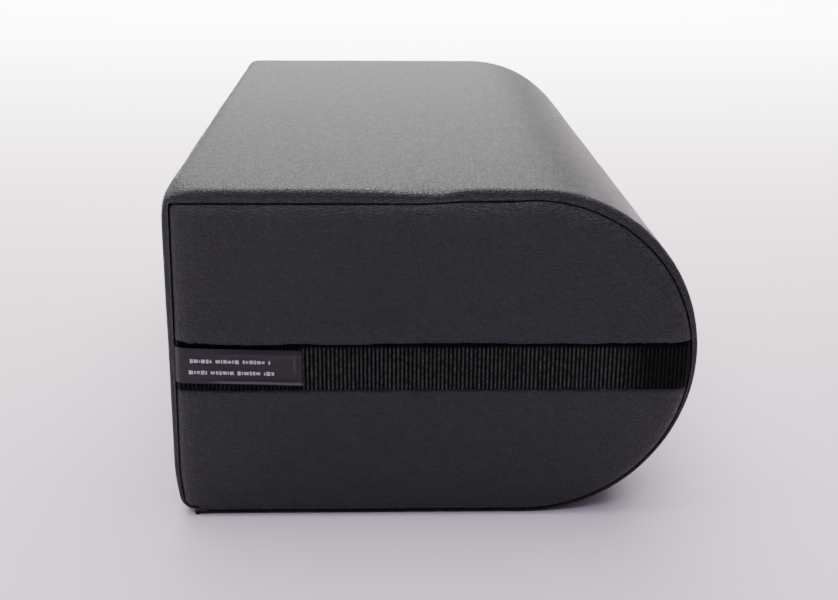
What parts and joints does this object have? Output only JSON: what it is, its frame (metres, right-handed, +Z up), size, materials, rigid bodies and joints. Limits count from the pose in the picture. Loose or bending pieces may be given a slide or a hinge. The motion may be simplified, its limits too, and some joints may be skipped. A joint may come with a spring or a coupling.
{
  "type": "dual-height leg bolster",
  "caption": "D-section foam leg bolster in a black vinyl cover, with a webbing carry strap across one end and a zip along the base; rests on its base or on its back.",
  "frame": {"origin": "on the floor under the middle of the object as it rests on its base", "axes": "+Z up from the base, +X from the flat back to the round nose, +Y from the strap end to the rear end"},
  "size_m": [0.322, 0.563, 0.2095],
  "materials": {
    "foam": "matte",
    "vinyl": "satin",
    "webbing": "matte",
    "label_tape": "satin",
    "zip_tape": "matte",
    "zip_coil": "satin",
    "zip_metal": "satin"
  },
  "bodies": {
    "bolster": {"foam_core": "foam", "wrap_panel": "vinyl", "front_end_panel": "vinyl", "rear_end_panel": "vinyl", "strap_left_end": "webbing", "strap_right_end": "webbing", "strap_label": "label_tape", "zip_tape_back": "zip_tape", "zip_tape_base": "zip_tape", "zip_coil_back": "zip_coil", "zip_coil_base": "zip_coil", "zip_top_stop": "zip_coil", "zip_bottom_stop": "zip_coil"},
    "grip": {"strap_grip": "webbing"},
    "slider": {"zip_slider": "zip_metal"},
    "pull": {"zip_pull": "zip_metal"}
  },
  "joints": [
    {"name": "strap_lift", "type": "slide", "parent": "bolster", "child": "grip", "axis": [0, -1, 0], "range_m": [0, 0.02], "stiffness_N_per_m": 300},
    {"name": "zip_slide", "type": "slide", "parent": "bolster", "child": "slider", "axis": [0, 1, 0], "range_m": [0, 0.468]},
    {"name": "pull_swing", "type": "hinge", "parent": "slider", "child": "pull", "pos_m": [-0.144, -0.243, 0.0015], "axis": [-1, 0, 0], "range_deg": [0, 150]}
  ]
}
